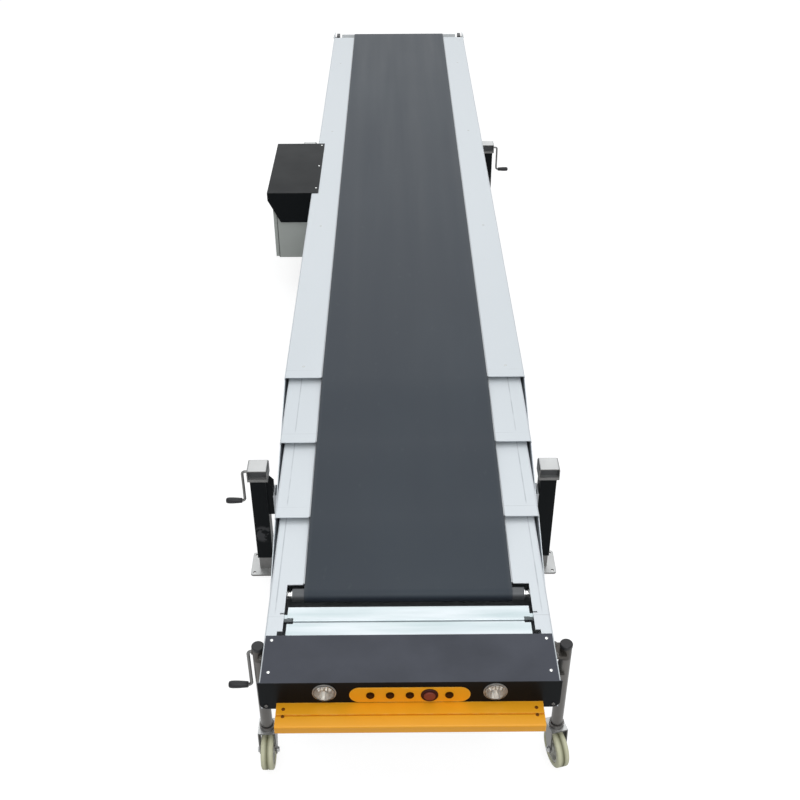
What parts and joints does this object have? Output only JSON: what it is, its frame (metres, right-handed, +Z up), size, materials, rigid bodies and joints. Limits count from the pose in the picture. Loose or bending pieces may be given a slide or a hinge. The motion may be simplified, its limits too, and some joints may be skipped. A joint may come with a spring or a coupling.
{
  "type": "mobile telescopic belt conveyor",
  "caption": "Telescopic belt conveyor: nested sliding sections with pale cover strips and a dark belt, screw-jack legs, jockey wheels under the nose, a nose control box and a side motor hood.",
  "frame": {"origin": "floor level, on the centre-line of the belt, halfway along the retracted machine", "axes": "+Z up, -Y towards the nose with the control box, +X to the right as seen from the nose looking to the tail"},
  "size_m": [1.4705, 6.6314, 0.6625],
  "materials": {
    "silver_paint": "satin",
    "bed_sheet": "satin",
    "belt_rubber": "matte",
    "black_paint": "satin",
    "zinc": "satin",
    "galvanised": "satin",
    "roller_steel": "satin",
    "cast_grey": "satin",
    "cabinet_grey": "satin",
    "yellow_paint": "satin",
    "black_plastic": "matte",
    "red_plastic": "gloss",
    "nylon": "matte",
    "dark_steel": "satin",
    "lamp_chrome": "gloss",
    "lamp_glass": "clear",
    "wheel_tread": "matte"
  },
  "bodies": {
    "base": {"base_side_channels": "silver_paint", "base_bed_and_pan": "bed_sheet", "base_belt": "belt_rubber", "base_support_rollers": "nylon", "tail_roller": "roller_steel", "tail_bearings": "black_plastic", "motor_hood": "black_paint", "drive_motor": "cast_grey", "electrical_cabinet": "cabinet_grey", "jack_tubes": "black_paint", "jack_heads": "zinc", "jack_gears": "cast_grey", "jack_brackets": "bed_sheet"},
    "section_2": {"section_2_side_channels": "silver_paint", "section_2_bed_and_pan": "bed_sheet", "section_2_belt": "belt_rubber", "section_2_support_rollers": "nylon"},
    "section_3": {"section_3_side_channels": "silver_paint", "section_3_bed_and_pan": "bed_sheet", "section_3_belt": "belt_rubber", "section_3_support_rollers": "nylon"},
    "nose": {"nose_side_channels": "silver_paint", "nose_bed_and_pan": "bed_sheet", "nose_belt": "belt_rubber", "nose_roller": "roller_steel", "transfer_bars": "galvanised", "control_box": "black_paint", "control_plate": "yellow_paint", "push_buttons": "black_plastic", "emergency_stop": "red_plastic", "lamp_bodies": "lamp_chrome", "lamp_lenses": "lamp_glass", "nose_bumper": "yellow_paint", "jockey_poles": "dark_steel", "jockey_caps": "black_plastic"},
    "cabinet_door": {"cabinet_door": "cabinet_grey"},
    "jack_leg_front_left": {"jack_leg_front_left": "zinc"},
    "jack_leg_front_right": {"jack_leg_front_right": "zinc"},
    "jack_leg_rear_left": {"jack_leg_rear_left": "zinc"},
    "jack_leg_rear_right": {"jack_leg_rear_right": "zinc"},
    "crank_front_left": {"crank_front_left": "zinc", "crank_front_left_grip": "black_plastic"},
    "crank_rear_right": {"crank_rear_right": "zinc", "crank_rear_right_grip": "black_plastic"},
    "crank_pole_left": {"crank_pole_left": "zinc", "crank_pole_left_grip": "black_plastic"},
    "jockey_stem_left": {"jockey_stem_left": "dark_steel"},
    "jockey_fork_left": {"jockey_fork_left": "zinc"},
    "jockey_wheel_left": {"wheel_hub_left": "nylon", "wheel_tyre_left": "wheel_tread"},
    "jockey_stem_right": {"jockey_stem_right": "dark_steel"},
    "jockey_fork_right": {"jockey_fork_right": "zinc"},
    "jockey_wheel_right": {"wheel_hub_right": "nylon", "wheel_tyre_right": "wheel_tread"}
  },
  "joints": [
    {"name": "section_2_slide", "type": "slide", "parent": "base", "child": "section_2", "axis": [0, -1, 0], "range_m": [0, 3]},
    {"name": "section_3_slide", "type": "slide", "parent": "section_2", "child": "section_3", "axis": [0, -1, 0], "range_m": [0, 3]},
    {"name": "nose_slide", "type": "slide", "parent": "section_3", "child": "nose", "axis": [0, -1, 0], "range_m": [0, 3]},
    {"name": "cabinet_door_hinge", "type": "hinge", "parent": "base", "child": "cabinet_door", "pos_m": [-0.7273, 0.616, 0.43], "axis": [0, 0, -1], "range_deg": [0, 100]},
    {"name": "jack_leg_front_left_slide", "type": "slide", "parent": "base", "child": "jack_leg_front_left", "axis": [0, 0, -1], "range_m": [-0.055, 0.26]},
    {"name": "jack_leg_front_right_slide", "type": "slide", "parent": "base", "child": "jack_leg_front_right", "axis": [0, 0, -1], "range_m": [-0.055, 0.26]},
    {"name": "jack_leg_rear_left_slide", "type": "slide", "parent": "base", "child": "jack_leg_rear_left", "axis": [0, 0, -1], "range_m": [-0.055, 0.26]},
    {"name": "jack_leg_rear_right_slide", "type": "slide", "parent": "base", "child": "jack_leg_rear_right", "axis": [0, 0, -1], "range_m": [-0.055, 0.26]},
    {"name": "crank_front_left_turn", "type": "hinge", "parent": "base", "child": "crank_front_left", "pos_m": [-0.629, -2.08825, 0.511], "axis": [1, 0, 0], "continuous": true},
    {"name": "crank_rear_right_turn", "type": "hinge", "parent": "base", "child": "crank_rear_right", "pos_m": [0.608, 1.23775, 0.511], "axis": [1, 0, 0], "continuous": true},
    {"name": "crank_pole_left_turn", "type": "hinge", "parent": "nose", "child": "crank_pole_left", "pos_m": [-0.486, -3.04525, 0.544], "axis": [1, 0, 0], "continuous": true},
    {"name": "jockey_stem_left_slide", "type": "slide", "parent": "nose", "child": "jockey_stem_left", "axis": [0, 0, -1], "range_m": [0, 0.25]},
    {"name": "jockey_fork_left_swivel", "type": "hinge", "parent": "jockey_stem_left", "child": "jockey_fork_left", "pos_m": [-0.486, -3.04525, 0.166], "axis": [0, 0, 1], "continuous": true},
    {"name": "jockey_wheel_left_spin", "type": "hinge", "parent": "jockey_fork_left", "child": "jockey_wheel_left", "pos_m": [-0.486, -3.06625, 0.068], "axis": [1, 0, 0], "continuous": true},
    {"name": "jockey_stem_right_slide", "type": "slide", "parent": "nose", "child": "jockey_stem_right", "axis": [0, 0, -1], "range_m": [0, 0.25]},
    {"name": "jockey_fork_right_swivel", "type": "hinge", "parent": "jockey_stem_right", "child": "jockey_fork_right", "pos_m": [0.506, -3.04525, 0.166], "axis": [0, 0, 1], "continuous": true},
    {"name": "jockey_wheel_right_spin", "type": "hinge", "parent": "jockey_fork_right", "child": "jockey_wheel_right", "pos_m": [0.51144, -3.06553, 0.068], "axis": [0.9659, 0.2588, 0], "continuous": true}
  ]
}
